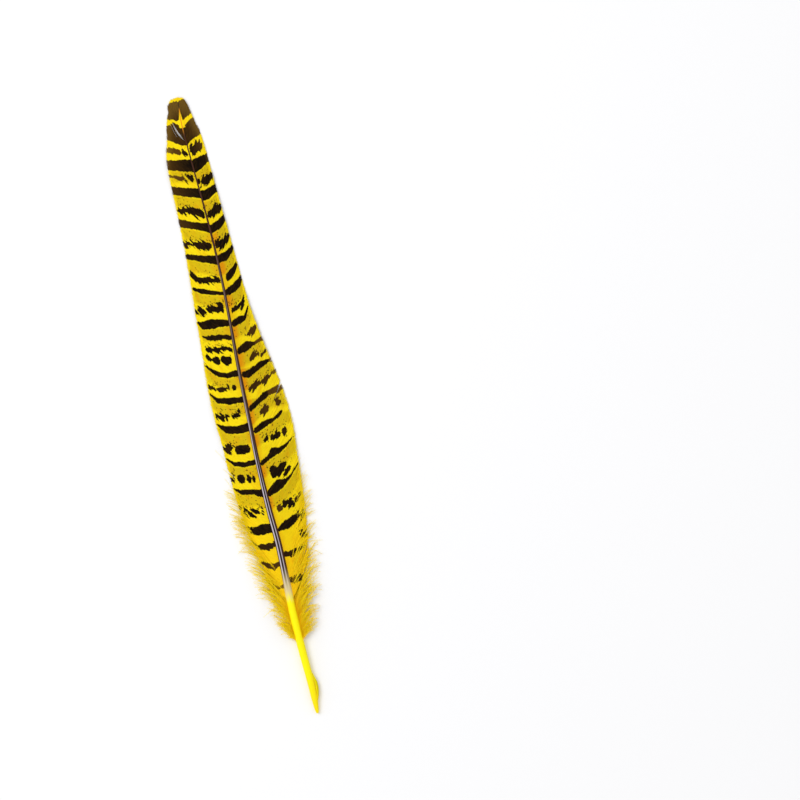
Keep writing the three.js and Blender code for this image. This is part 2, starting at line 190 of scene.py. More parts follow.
RIGHT_BARS = [
    (SMOOTH, BROWN, (0.3, 246.5, 7.8), (0.9, 246.5, 8), (2.3, 246.9, 7.4), (4.6, 247.9, 5.8)),
    (SMOOTH, (DARK, BROWN), (0, 235.9, 7.1), (1.8, 237.2, 7), (4.1, 238.7, 7.2), (6.6, 239.6, 7.4)),
    (COMB, (BLACK, BROWN), (1, 230, 2.8), (2.5, 230.2, 4), (4, 230.7, 4), (5.4, 231.2, 2.6)),
    (SMOOTH, BLACK, (0, 223.2, 5.2), (2.7, 224.1, 4.7), (4.5, 225, 4), (6.8, 226, 3)),
    (COMB, BLACK, (0.3, 217.1, 2.8), (1, 217.1, 2.6)),
    (COMB, BLACK, (1.8, 217, 2.4), (2.8, 217.2, 4), (4.5, 217.8, 3.4), (6.3, 218.8, 2.2)),
    (SMOOTH, BLACK, (0, 211, 4.2), (2.7, 211.1, 4.1), (4.5, 212.1, 3.8), (6.6, 213.3, 3.3)),
    (COMB, BLACK, (0.8, 203.8, 2.8), (2.6, 204, 3.4), (4.2, 205, 3), (6.3, 205.9, 2.2)),
    (SMOOTH, BLACK, (0, 197.3, 3.8), (3.6, 198.6, 3.2), (6.6, 200.8, 2.5)),
    (COMB, BLACK, (0.8, 190.9, 2.8), (2.4, 190.8, 3.6), (3.8, 191.9, 3.2), (6.3, 193.3, 2.7)),
    (SMOOTH, BLACK, (0, 185.2, 3.2), (3.6, 186.3, 3.4), (6.1, 188.1, 2.4), (7.2, 189.4, 1.5)),
    (FUZZY, BLACK, (2, 177.4, 2.4), (3.6, 178.6, 3), (5.5, 180, 2.6), (6.9, 181.7, 1.3)),
    (SMOOTH, BLACK, (0.4, 171.4, 2.2), (3.6, 172.6, 3), (6.8, 174.9, 3), (7.6, 176.2, 1.6)),
    (COMB, BLACK, (1.6, 164.8, 2.6), (3.2, 164.8, 2.8), (4.6, 165.4, 2.8), (6.2, 166.3, 2.6),
        (7.2, 168.6, 1.4)),
    (SMOOTH, BLACK, (0.8, 158.9, 2.1), (3.6, 159.8, 2.7), (5.9, 160, 1.9), (7.2, 162.4, 2),
        (8, 164.2, 1)),
    (COMB, BROWN, (4.8, 153.1, 1.6), (6.6, 153.6, 2.2), (8.5, 154.6, 2.8), (9.6, 155.4, 1.4)),
    (SMOOTH, (BLACK, DARK), (1, 147.4, 2.3), (4.7, 149, 3.8), (7.3, 149.6, 1.5), (8, 149.6, 1.3)),
    (SMOOTH, (DARK, OLIVE), (7.8, 149.6, 1.3), (10.4, 150.6, 1.7), (12.4, 151, 1.9)),
    (COMB, (DARK, BROWN), (5, 143.8, 1), (7, 144.7, 2.6), (8.8, 145, 2.2)),
    (COMB, (DARK, BROWN), (9.6, 144.8, 1.8), (11.8, 145.1, 2)),
    (SMOOTH, BLACK, (1, 138, 2), (3.2, 138, 3.2), (7.3, 139.8, 2.4), (9.1, 140.5, 2.5),
        (12.3, 141.2, 0.9)),
    (SMOOTH, (BROWN, OLIVE), (12, 141.2, 0.9), (14, 142, 0.8)),
    (COMB, (DARK, BROWN), (2.4, 131.9, 2.2), (5, 133, 1.8), (8.5, 134, 2.2), (11.8, 135.6, 1.3)),
    (FUZZY, OLIVE, (12, 136, 1.4), (14.4, 137.2, 1)),
    (SMOOTH, BLACK, (1.1, 124.1, 2.1), (5, 126.6, 1.8), (7.4, 128, 2.2), (9.1, 128.7, 1.6)),
    (SMOOTH, (DARK, OLIVE), (9, 129.2, 2), (12.8, 129.7, 2.4), (17, 131, 1)),
    (COMB, (DARK, BROWN), (4.8, 122.3, 2), (6.6, 122.4, 3.2), (8.3, 123.4, 2.2)),
    (COMB, (DARK, BROWN), (11.4, 124.9, 1.6), (12.7, 124.8, 2.4), (13.6, 124.3, 1.6)),
    (SMOOTH, BLACK, (1.1, 115, 2), (5.2, 117, 2.6), (9.3, 118.1, 1.5), (11.4, 119.3, 1.4),
        (13.4, 120.8, 0.5)),
    (COMB, BLACK, (4.4, 110.8, 2.2), (5.8, 111, 2.6)),
    (COMB, BLACK, (7.1, 111.5, 2.6), (8.6, 111.6, 3)),
    (COMB, BLACK, (9.3, 111.7, 3.4), (10.8, 112.1, 3.2)),
    (COMB, (BLACK, DARK), (12, 112.4, 3.4), (13.3, 113, 3.6)),
    (SMOOTH, BLACK, (1.1, 102, 1.5), (4.3, 103.6, 1.4), (6.4, 105.4, 3.4), (9.5, 105.8, 2.2),
        (12.3, 107, 1.7), (15.9, 109.9, 0.4)),
    (COMB, BLACK, (4.2, 98.1, 2.6), (6, 97.8, 3.8), (7.8, 97.9, 3.6)),
    (COMB, BLACK, (8.3, 97.8, 3.8), (10, 98.2, 3.6), (12, 99, 1.8)),
    (SMOOTH, BLACK, (1.1, 89.5, 1.9), (5.5, 91.9, 4.1), (9.3, 93, 1.8), (11.8, 95, 1),
        (15.5, 99.1, 0.4)),
    (COMB, BROWN, (3.4, 82.8, 2), (5.2, 83, 2)),
    (COMB, BLACK, (6, 83.8, 3.2), (8.1, 83.9, 3.6)),
    (COMB, BLACK, (8.6, 83.8, 3.8), (10.2, 83.7, 3.6)),
    (COMB, (DARK, BROWN), (10.9, 85.2, 1.8), (13.8, 86.6, 1.4)),
    (FUZZY, BLACK, (1.4, 75, 1.6), (5.4, 76.5, 3.4), (8, 77.7, 3.4), (9.9, 78, 1.8)),
    (COMB, DARK, (10.2, 78.2, 2.2), (12.8, 79.2, 1.6)),
    (COMB, DARK, (9.2, 71.3, 1), (12.2, 71.8, 0.9)),
    (FUZZY, DARK, (1.3, 65, 1.4), (4, 64.5, 2), (7.4, 65.6, 1.3), (10.2, 66.5, 0.8)),
    (FUZZY, (BROWN, DARK), (1.1, 54.5, 1.9), (3.3, 54, 2.7), (6.7, 54.5, 1.6), (9.6, 55.1, 0.5)),
]
BARS_OF = {-1: [bar(*row) for row in LEFT_BARS], 1: [bar(*row) for row in RIGHT_BARS]}

# Bars: the teeth, waves and gaps of their edges, their ends, fuller broken ones, and how they follow barbs
TOOTH = 0.58
TOOTH_GRAIN = 0.22
TOOTH_LIMIT = 0.85
TOOTH_BARBS = 1
EDGE_WAVE = 0.16
WAVE_BARBS = 7
BLEND_REACH = 3
GAP_DEPTH = 1.1
GAP_FROM = 1.75
END_SLOPE = 3.2
FULLER = 0.22
FULLER_FROM = 170.0
BARS_FOLLOW = 0.7

# The dull ground below a bar, the specks near a broken bar, and the bright wedge in the tip's cap
DULL_FROM = 0.6
DULL_TO = 5.6
DULL_FADE = 1.4
HIGHEST_DULL_BAR = 230.0
SPECKS_ABOVE = 4.5
SPECKS_BESIDE = 1.5
WEDGE_TOP = 247.6
WEDGE_BOTTOM = 239.5
WEDGE_SLOPE = 0.17

# Stations between which a colour changes, on the vanes and then on the shaft
GOLD_ENDS = (58.0, 96.0)
SHAFT_SHADOW_ENDS = (188.0, 205.0)
PALE_EDGES_GROW = (214.0, 238.0)
STREAKS_GROW = (225.0, 243.0)
CAP_STARTS = (241.5, 243.5)
QUILL_BRIGHTENS = (2.0, 20.0)
CREAM_STARTS = (48.0, 54.0)
RACHIS_STARTS = (52.0, 64.0)
RIGHT_HIGHLIGHT_ENDS = (86.0, 115.0)
GREY_HIGHLIGHT_STARTS = (100.0, 128.0)
LEFT_HIGHLIGHT_ENDS = (105.0, 150.0)
SHAFT_REDDENS = (172.0, 196.0)
SHAFT_TURNS_AMBER = (236.0, 241.0)
SHAFT_TURNS_OLIVE = (246.0, 248.0)

# Distances over which a colour fades: in from the margin, out from the shaft for the painted shadow beside
# it, and up to a bar's edge
BRIGHT_MARGIN = (0.3, 1.6)
WARM_INSIDE = (0.3, 2.0)
SPECKS_INSIDE = (0.8, 1.6)
PALE_MARGIN = (0.0, 1.8)
SHAFT_SHADOW_REACH = (1.2, 3.4)
BAR_EDGE = (-0.22, 0.0)
EDGE_GRAIN = 0.25

# Patterns on the barbs: how fast each changes over and along the barbs, its detail, and the vanes' distance
BARB_NOISES = {
    "strand": (3.4, 0.35, 1.0),
    "patch": (0.42, 0.4, 1.0),
    "speck": (1.4, 0.85, 2.0),
    "hue": (0.2, 0.15, 2.0),
    "fine": (9.0, 2.2, 1.0),
}
SIDES_APART = 40.0

# Painted highlights along the shaft, and its dark right flank that is partly painted shade: middle, half
# width and fade, from -1 at its left side to 1 at its right
HIGHLIGHT = (-0.25, 0.2, 0.3)
LEFT_HIGHLIGHT_LINE = (-0.55, 0.08, 0.16)
RIGHT_HIGHLIGHT_LINE = (0.28, 0.05, 0.14)
SHADED_RED_FLANK = (0.9, 0.38, 0.15)

# How far the shaft's colours waver, and the usual spread of a noise
SHAFT_WAVER = 6.0
NOISE_SPREAD = (0.2, 0.8)

# The barbs of a vane, how they gather in locks, and how unruly the loose ones near the quill are
VANE_SEED = {-1: 5, 1: 8}
BARRED_START = 46.0
BARBS = 470
BARB_STEPS = 40
BARB_OVERLAP = 1.5
BARB_HALF_WIDTH = (0.05, 0.3)
BARB_HALF_HEIGHT = 0.09
BARB_TILT = 0.18
BARB_REACH = (0.975, 1.0)
BARB_SHIFT = 0.1
BARB_LIFT = 0.05
BARBS_IN_A_LOCK = (6, 18)
LOCK_GATHER = (0.01, 0.1)
LOCK_SHIFT = 0.12
LOCK_LIFT = 0.1
LOOSE_TO = 66.0
LOOSE_SHORTER = 0.12
LOOSE_SLIMMER = 0.45
LOOSE_SHIFT = 1.1
LOOSE_LIFT = 0.9
CALM_TIP = 8.0
PULL_POWER = 3
LIFT_POWER = 1.5
LOWEST_LIFT = -0.15
TAPER = 0.85
TAPER_FROM = 0.95

# Splits: the side, the station at the shaft, and how far barbs are pushed aside at shares of their length
SPLITS = [
    (-1, 233.5, [(0.05, 0), (0.2, 0.75), (0.46, 1.25), (0.56, 1.1), (0.64, 0.1), (0.88, 0.1), (1, 0.9)]),
    (-1, 231.4, [(0.4, 0), (0.52, 0.75), (0.7, 0.7), (0.8, 0)]),
    (-1, 88, [(0.72, 0), (1, 0.6)]),
    (1, 113, [(0.6, 0), (1, 0.6)]),
    (1, 65, [(0.5, 0), (1, 0.8)]),
]
SPLIT_SPREAD = 3.0

# The shaft, round at its end and squarer above, and the strips of its torn sheath
SHAFT_STEPS = 200
SHAFT_SIDES = 24
ROUNDED_END = [(0.0, 0.35), (0.12, 0.62), (0.35, 0.82), (0.8, 0.95), (1.4, 1.0)]
ROUNDED_TO = 2.2
SQUARE_FROM = 50.0
SQUARE_OVER = 40.0
SQUARENESS = 0.28
SHEATH_SEED = 3
SHEATH_STRIPS = 6
SHEATH_SPREAD = 0.28
SHEATH_UNEVEN = 0.9
SHEATH_LEAN = 0.3
SHEATH_ROUNDING = (0.12, 0.96)
SHEATH_HALF_WIDTH = 0.32
SHEATH_HALF_HEIGHT = 0.1
SHEATH_TILT = 0.4

# The down: its reach and angles, the barbs that run over the vane, and turns as shares of span and rise
DOWN_SEED = 21
DOWN_START = 29.0
DOWN_END = 70.0
DOWN_BARBS = 480
DOWN_STEPS = 14
DOWN_SPAN = [(29, 7.5), (33, 9.5), (37, 12), (42, 14), (50, 15.8), (60, 16.8), (70, 16.5)]
DOWN_REACH = (0.5, 0.55)
FAR_POWER = 1.3
DOWN_KEEPS_IN = 0.8
DOWN_ANGLE = (27, 41)
WIDE_TO = 42.0
WIDER_ANGLE = 16
ALL_OVER_TO = 40.0
SOME_OVER_TO = 52.0
SHARE_OVER = 0.15
ROOT_UNDER = -0.5
CREST_OVER, CREST_UNDER = (1.8, 4.2), (0.3, 0.8)
TIP_OVER, TIP_UNDER = (0.8, 3.2), (0.3, 2.0)
FIRST_TURN = (0.24, 0.4)
SECOND_TURN = (0.56, 0.86)
TURN_HEIGHT_UNDER = 1.2
DOWN_BEND = 0.1
TIP_BEND = 2.4
RIPPLE_RATE = (5, 11)
RIPPLE_START = (0, 6)
RIPPLE_FORWARDS = 0.4
RIPPLE_UPWARDS = 0.3
DOWN_LOWEST = 0.25
DOWN_TAPER = 0.8
DOWN_HALF_WIDTH = 0.16
DOWN_HALF_HEIGHT = 0.08

# The barbules on each barb of the down, shorter towards its tip
BARBULES = 100
BARBULES_FROM = 0.1
BARBULE_LENGTH = (0.7, 1.9)
BARBULE_SHORTENING = (1.2, 0.85)
BARBULE_WIDTH = 0.072
BARBULE_SPREAD = (1, 1, 0.6)
BARBULE_LEAN = (0.7, 0.85)
BARBULE_LOWEST = 0.1
SPIKE_FACES = [[0, 2, 1], [0, 1, 3], [1, 2, 3], [2, 0, 3]]

# Triangles on the baking sheet: one in the last row for the shaft's ends, and one in each barbule's cell
END_TRIANGLE = [(0.5, 0.2), (0.52, 0.8), (0.54, 0.2)]
SPIKE_TRIANGLE = [(0.05, 0.05), (0.95, 0.05), (0.05, 0.95)]

# The picture: the feather's ends in pixels of the photograph, the camera in millimetres, and the lamp and
# the floor in metres
PHOTO_SIDE = 800
QUILL_PIXEL = (318, 713)
TIP_PIXEL = (178, 97)
CAMERA_HEIGHT = 1400.0
SENSOR_WIDTH = 36.0
SURROUND_STRENGTH = 0.8
KEY_PLACE = (-0.7, 0.5, 1.3)
KEY_SIZE = 0.9
KEY_WATTS = 9.5
FLOOR_SIDE = 4.0
FLOOR_WHITE = (0.93, 0.93, 0.94)

TUBE_SIDES = 4
TINY = 1e-9
UP = np.array([0.0, 0.0, 1.0])


def place(across, station, height):
    """Points of the feather in millimetres, from distances across its shaft line, stations and heights."""
    return np.stack([shaft_bend(station) + across, station - FEATHER_LENGTH / 2, height], axis=-1)


def margin_station(root, side):
    """The stations where barbs that leave the shaft at the given roots meet their vane's margin."""
    advance = 1 / np.tan(np.radians(barb_angle(root)))
    low = root.copy()
    high = np.full_like(root, FEATHER_LENGTH)
    for _ in range(MARGIN_SEARCH_STEPS):
        middle = (low + high) / 2
        inside = middle - root < WIDTH_OF[side](middle) * advance
        low = np.where(inside, middle, low)
        high = np.where(inside, high, middle)
    return low


def blended(rng, spread):
    """A random value for each barb, blended with its neighbours over a spread, with a deviation of 1."""
    reach = np.arange(-BLEND_REACH * spread, BLEND_REACH * spread + 1)
    weights = np.exp(-0.5 * (reach / spread) ** 2)
    values = np.convolve(rng.normal(0, 1, BARBS), weights, mode="same")
    return values / values.std()


def edge_shift(teeth, rng):
    """How far one edge of a bar is pushed out on each barb: teeth, grain and a slow wave."""
    tooth = blended(rng, TOOTH_BARBS)
    wave = blended(rng, WAVE_BARBS)
    grain = rng.normal(0, 1, BARBS)
    jagged = np.clip(TOOTH * tooth + TOOTH_GRAIN * grain, -TOOTH_LIMIT, TOOTH_LIMIT)
    return (teeth * jagged + EDGE_WAVE * wave)[:, None]


def bar_at(each, across):
    """A bar's middle station and half thickness at distances from the shaft, and how far past its ends."""
    middle, half = (np.interp(across, each["across"], each[key]) for key in ("station", "half"))
    return middle, half, np.maximum(each["across"][0] - across, across - each["across"][-1])


def bar_depth(side, station, across, rng):
    """How many millimetres inside a bar each point is, negative outside, and how dark that bar is."""
    depth = np.full(station.shape, -FEATHER_LENGTH)
    strength = np.ones(station.shape)
    for each in BARS_OF[side]:
        middle, half, beyond = bar_at(each, across)
        half = half - END_SLOPE * np.maximum(beyond, 0)
        gap = np.where(blended(rng, TOOTH_BARBS) > GAP_FROM, GAP_DEPTH, 0.0)[:, None]
        gap = gap if each["teeth"] == COMB else 0.0
        fuller = each["teeth"] == COMB and each["station"][0] > FULLER_FROM
        half = half + FULLER if fuller else half
        top = middle + half + edge_shift(each["teeth"], rng) - gap
        bottom = middle - half + edge_shift(each["teeth"], rng) + gap
        inside = np.minimum(top - station, station - bottom)
        share = np.clip(across / each["across"][-1], 0, 1)
        strength = np.where(inside > depth, each["near"] + (each["far"] - each["near"]) * share, strength)
        depth = np.maximum(depth, inside)
    wedge = (WEDGE_TOP - station) * WEDGE_SLOPE - across
    return np.where(station > WEDGE_BOTTOM, np.minimum(depth, -wedge), depth), strength


def ground_shade(side, station, across):
    """1 in the dull ground between each bar and the broken bar below it, and how near a broken bar is."""
    shade = np.zeros(station.shape)
    near = np.zeros(station.shape)
    for each in BARS_OF[side]:
        middle, half, beyond = bar_at(each, across)
        if each["teeth"] == SMOOTH and each["station"][0] < HIGHEST_DULL_BAR:
            below = middle - half - station
            starts = np.clip(below / DULL_FROM, 0, 1)
            ends = np.clip((DULL_TO - below) / DULL_FADE, 0, 1)
            shade = np.maximum(shade, starts * ends)
        if each["teeth"] == COMB:
            above = station - middle - half
            beside = (above > 0) * (beyond < SPECKS_BESIDE)
            near = np.maximum(near, beside * np.clip(1 - above / SPECKS_ABOVE, 0, 1))
    return shade, near


def mesh_object(name, points, face_groups, uv_groups, point_values, material, smooth=True):
    """A mesh from points in millimetres, with named values on its points, that rides in place of the solid.

    Faces come in groups with the same number of corners, each with its own place on the sheet for baking.
    """
    mesh = bpy.data.meshes.new(name)
    points = np.asarray(points, float).reshape(-1, 3) * MM
    corners = np.concatenate([faces.ravel() for faces in face_groups])
    sizes = np.concatenate([np.full(len(faces), faces.shape[1]) for faces in face_groups])
    mesh.vertices.add(len(points))
    mesh.vertices.foreach_set("co", points.ravel())
    mesh.loops.add(len(corners))
    mesh.loops.foreach_set("vertex_index", corners)
    mesh.polygons.add(len(sizes))
    mesh.polygons.foreach_set("loop_start", np.cumsum(sizes) - sizes)
    mesh.polygons.foreach_set("use_smooth", np.full(len(sizes), smooth))
    mesh.update(calc_edges=True)
    sheet = mesh.uv_layers.new(name="OFBake")
    sheet.data.foreach_set("uv", np.concatenate([uv.ravel() for uv in uv_groups]))
    for key, values in point_values.items():
        layer = mesh.attributes.new(key, "FLOAT", "POINT")
        layer.data.foreach_set("value", np.asarray(values, float).ravel())
    mesh.materials.append(material)
    made = bpy.data.objects.new(name, mesh)
    bpy.context.scene.collection.objects.link(made)
    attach(made, BODY)
    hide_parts(NODE)
    return made


class Nodes:
    """A short way to write a material's node tree."""

    def __init__(self, name):
        self.material = bpy.data.materials.new(name)
        self.material.use_nodes = True
        self.tree = self.material.node_tree
        self.shader = self.tree.nodes["Principled BSDF"]

    def surface(self, name, value):
        """Sets or links one of the shader's own sockets."""
        self.link(value, self.shader.inputs[name])

    def finish(self, painted, noise, roughness, specular):
        """Gives the shader its colour, a roughness that varies with a noise, and how much it reflects."""
        self.surface("Base Color", painted)
        self.surface("Roughness", self.ramp(noise, *NOISE_SPREAD, *roughness))
        self.surface("Specular IOR Level", specular)

    def link(self, value, socket):
        if isinstance(value, bpy.types.NodeSocket):
            self.tree.links.new(value, socket)
        elif isinstance(value, (tuple, list)) and socket.type == "RGBA":
            socket.default_value = (*value[:3], 1.0)
        else:
            socket.default_value = value

    def node(self, kind, inputs):
        """A new node, with its inputs set or linked."""
        node = self.tree.nodes.new("ShaderNode" + kind)
        for key, value in inputs.items():
            self.link(value, node.inputs[key])
        return node

    def value(self, name):
        node = self.node("Attribute", {})
        node.attribute_name = name
        return node.outputs["Fac"]

    def math(self, operation, a, b=0.0):
        node = self.node("Math", {0: a, 1: b})
        node.operation = operation
        return node.outputs[0]

    def add(self, a, b):
        return self.math("ADD", a, b)

    def times(self, a, b):
        return self.math("MULTIPLY", a, b)

    def ramp(self, value, low, high, start=0.0, end=1.0):
        """start below low, end above high and a smooth step between."""
        inputs = {"Value": value, "From Min": low, "From Max": high, "To Min": start, "To Max": end}
        node = self.node("MapRange", inputs)
        node.interpolation_type = "SMOOTHSTEP"
        return node.outputs["Result"]

    def band(self, value, middle, half, fade):
        """1 within half of a middle value, falling to 0 over a fade."""
        distance = self.math("ABSOLUTE", self.add(value, -middle))
        return self.ramp(distance, half, half + fade, 1.0, 0.0)

    def vector(self, x, y, z=0.0):
        return self.node("CombineXYZ", {0: x, 1: y, 2: z}).outputs[0]

    def noise(self, vector, detail):
        return self.node("TexNoise", {"Vector": vector, "Scale": 1.0, "Detail": detail}).outputs["Fac"]

    def mix(self, share, a, b):
        node = self.node("Mix", {})
        node.data_type = "RGBA"
        self.link(share, node.inputs["Factor"])
        self.link(a, node.inputs[6])
        self.link(b, node.inputs[7])
        return node.outputs[2]

    def bump(self, height, distance, strength):
        inputs = {"Strength": strength, "Distance": distance, "Height": height}
        return self.node("Bump", inputs).outputs["Normal"]


def colour(red, green, blue):
    """A scene colour from the 0 to 255 values that the eye sees."""
    def linear(value):
        value /= 255
        return value / 12.92 if value <= 0.04045 else ((value + 0.055) / 1.055) ** 2.4
    return (linear(red), linear(green), linear(blue))


BRIGHT_YELLOW = colour(255, 228, 20)
MUSTARD = colour(210, 184, 18)
AMBER = colour(232, 150, 10)
GOLD = colour(255, 200, 14)
BAR_BLACK = colour(15, 8, 3)
BAR_BROWN = colour(98, 66, 20)
MARK_BROWN = colour(70, 46, 10)
TIP_OLIVE = colour(54, 35, 8)
TIP_EDGE = colour(140, 108, 42)
DOWN_YELLOW = colour(255, 230, 26)
DOWN_SHADE = colour(255, 198, 6)
QUILL_YELLOW = colour(255, 244, 2)
QUILL_SHADE = colour(252, 212, 6)
RACHIS_CREAM = colour(222, 204, 150)
RACHIS_HIGHLIGHT_GREY = colour(112, 92, 84)
RACHIS_DARK = colour(34, 24, 20)
RACHIS_RED = colour(66, 32, 16)
RACHIS_HIGHLIGHT_PALE = colour(205, 194, 204)
UNDERSIDE = colour(238, 208, 110)


def barb_noises(n):
    """Patterns that follow the barbs: strands, patches, specks, slow changes of hue and fine grain."""
    barb, along, apart = n.value("barb"), n.value("along"), n.times(n.value("side"), SIDES_APART)
    noises = {}
    for name, (over_barbs, along_barb, detail) in BARB_NOISES.items():
        spot = n.vector(n.times(barb, over_barbs), n.times(along, along_barb), apart)
        noises[name] = n.noise(spot, detail)
    return noises


def vane_ground(n, noise):
    """The colour between the bars: bright and dull yellow, a painted amber shadow beside the shaft, gold low
    down, specks.
    """
    ground, specked = n.value("ground"), n.value("specked")
    across, inwards, station = n.value("across"), n.value("inwards"), n.value("station")
    bright = n.mix(n.ramp(noise["strand"], 0.38, 0.75, 0.0, 0.3), BRIGHT_YELLOW, MUSTARD)
    dull = n.mix(n.ramp(noise["patch"], 0.35, 0.7, 0.0, 0.22), MUSTARD, AMBER)
    dull = n.mix(n.ramp(noise["strand"], 0.35, 0.75, 0.2, 0.0), dull, BRIGHT_YELLOW)
    painted = n.mix(n.times(ground, n.ramp(inwards, *BRIGHT_MARGIN, 0.0, 0.95)), bright, dull)

    warm = n.times(n.ramp(noise["hue"], 0.5, 0.75, 0.0, 0.3), n.ramp(inwards, *WARM_INSIDE))
    painted = n.mix(warm, painted, AMBER)
    # painted shadow of the raised shaft: amber on the vane beside it, deeper on the right side and in the
    # dull ground
    shadow_side_share = n.ramp(n.value("side"), -0.5, 0.5, 0.25, 0.9)
    shaft_shadow = n.times(shadow_side_share, n.ramp(across, *SHAFT_SHADOW_REACH, 1.0, 0.0))
    shaft_shadow = n.times(shaft_shadow, n.ramp(station, *SHAFT_SHADOW_ENDS, 1.0, 0.15))
    shaft_shadow = n.times(shaft_shadow, n.ramp(ground, 0.0, 1.0, 0.4, 1.0))
    painted = n.mix(shaft_shadow, painted, AMBER)
    painted = n.mix(n.ramp(station, *GOLD_ENDS, 0.45, 0.0), painted, GOLD)

    speck_level = n.ramp(specked, 0.0, 1.0, 0.67, 0.575)
    specks = n.ramp(n.add(noise["speck"], n.times(speck_level, -1.0)), 0.0, 0.02)
    specks = n.times(specks, n.times(n.ramp(inwards, *SPECKS_INSIDE), n.math("MAXIMUM", ground, specked)))
    return n.mix(n.times(specks, 0.92), painted, MARK_BROWN)


def vane_bars(n, noise):
    """The colour of the bars: black to brown, and near the tip olive, streaked and pale at the edges."""
    strength, inwards, station = n.value("strength"), n.value("inwards"), n.value("station")
    painted = n.mix(n.ramp(strength, 0.45, 1.0), BAR_BROWN, BAR_BLACK)
    painted = n.mix(n.ramp(station, *CAP_STARTS), painted, TIP_OLIVE)
    streak = n.times(n.ramp(noise["strand"], 0.35, 0.75, 0.0, 0.2), n.ramp(station, *STREAKS_GROW, 1.0, 3.0))
    painted = n.mix(streak, painted, BAR_BROWN)
    tip_edge = n.times(n.ramp(inwards, *PALE_MARGIN, 0.5, 0.0), n.ramp(station, *PALE_EDGES_GROW))
    return n.mix(tip_edge, painted, TIP_EDGE)


def vane_material():
    """Barbs with dark bars over a yellow ground, all drawn along the barbs, and paler underneath."""
    n = Nodes("barred barbs")
    noise = barb_noises(n)
    edge = n.add(n.value("depth"), n.times(n.add(noise["fine"], -0.5), EDGE_GRAIN))
    cover = n.times(n.ramp(edge, *BAR_EDGE), n.ramp(n.value("strength"), 0.25, 0.6, 0.5, 1.0))
    painted = n.mix(cover, vane_ground(n, noise), vane_bars(n, noise))
    painted = n.mix(n.times(n.value("under"), 0.35), painted, UNDERSIDE)

    n.finish(painted, noise["strand"], roughness=(0.62, 0.78), specular=0.05)
    n.surface("Normal", n.bump(noise["fine"], distance=0.06 * MM, strength=0.6))
    return n.material


def shaft_material():
    """A yellow quill that turns through cream into a dark rachis, with a painted grey highlight and painted
    pale highlight lines along it, and dark sides that are partly painted shade.
    """
    n = Nodes("shaft")
    station, turn = n.value("station"), n.value("turn")
    grain = n.noise(n.vector(n.times(turn, 3.0), n.times(station, 0.12)), 3.0)
    fibre = n.noise(n.vector(n.times(turn, 14.0), n.times(station, 0.4)), 2.0)

    quill = n.mix(n.ramp(station, *QUILL_BRIGHTENS, 0.5, 0.0), QUILL_YELLOW, QUILL_SHADE)
    quill = n.mix(n.ramp(grain, 0.52, 0.78, 0.0, 0.5), quill, QUILL_SHADE)
    quill = n.mix(n.ramp(n.math("ABSOLUTE", turn), 0.72, 1.0, 0.0, 0.6), quill, QUILL_SHADE)

    # painted highlight: a grey band left of the rachis's middle, from the station where it starts
    upper = n.ramp(station, *GREY_HIGHLIGHT_STARTS)
    highlight = n.mix(n.band(turn, *HIGHLIGHT), RACHIS_DARK, RACHIS_HIGHLIGHT_GREY)
    middle = n.mix(upper, RACHIS_DARK, highlight)
    middle = n.mix(n.ramp(station, *SHAFT_REDDENS), middle, RACHIS_RED)
    # painted highlights: two pale lines along the lower rachis
    left_highlight = n.times(n.band(turn, *LEFT_HIGHLIGHT_LINE), n.ramp(station, *LEFT_HIGHLIGHT_ENDS, 1.0, 0.0))
    right_highlight = n.times(n.band(turn, *RIGHT_HIGHLIGHT_LINE), n.ramp(station, *RIGHT_HIGHLIGHT_ENDS, 0.8, 0.0))
    # the dark red-brown right flank: partly the rachis's own colour, partly painted shade on its side away
    # from the lamp
    rachis = n.mix(n.band(turn, *SHADED_RED_FLANK), middle, RACHIS_RED)
    rachis = n.mix(n.math("MAXIMUM", left_highlight, right_highlight), rachis, RACHIS_HIGHLIGHT_PALE)
    # a thin dark red-brown left edge: partly the rachis's own colour, partly painted shade at its side
    rachis = n.mix(n.ramp(turn, -0.95, -0.75, 0.8, 0.0), rachis, RACHIS_RED)
    rachis = n.mix(n.ramp(grain, 0.5, 0.8, 0.0, 0.3), rachis, RACHIS_DARK)
    rachis = n.mix(n.ramp(station, *SHAFT_TURNS_AMBER), rachis, AMBER)
    rachis = n.mix(n.ramp(station, *SHAFT_TURNS_OLIVE), rachis, TIP_OLIVE)

    wavering = n.add(station, n.times(grain, SHAFT_WAVER))
    painted = n.mix(n.ramp(wavering, *CREAM_STARTS), quill, RACHIS_CREAM)
    painted = n.mix(n.ramp(wavering, *RACHIS_STARTS), painted, rachis)
    painted = n.mix(n.ramp(fibre, 0.4, 0.8, 0.0, 0.08), painted, RACHIS_RED)

    n.finish(painted, fibre, roughness=(0.42, 0.6), specular=0.15)
    n.surface("Normal", n.bump(fibre, distance=0.05 * MM, strength=0.5))
    return n.material


def down_material():
    """Loose bright yellow down, with painted amber shade deep in the mass near the shaft, and deeper yellow
    in random clumps.
    """
    n = Nodes("down")
    share, seed = n.value("share"), n.value("seed")
    # painted shade: amber deep in the down near the shaft, varied per barb
    depth_shade = n.add(n.ramp(share, 0.1, 0.7, 0.8, 0.0), n.ramp(seed, 0.0, 1.0, -0.25, 0.2))
    clump = n.noise(n.vector(n.times(seed, 9.0), n.times(share, 6.0)), 1.0)
    painted = n.mix(n.math("MAXIMUM", depth_shade, 0.0), DOWN_YELLOW, DOWN_SHADE)
    painted = n.mix(n.ramp(clump, 0.55, 0.8, 0.0, 0.3), painted, DOWN_SHADE)
    n.finish(painted, clump, roughness=(0.65, 0.8), specular=0.1)
    n.surface("Sheen Weight", 0.9)
    n.surface("Sheen Roughness", 0.5)
    n.surface("Sheen Tint", DOWN_YELLOW)
    return n.material


def unit(vectors):
    """Vectors in the same directions with a length of 1."""
    return vectors / np.maximum(np.linalg.norm(vectors, axis=-1, keepdims=True), TINY)


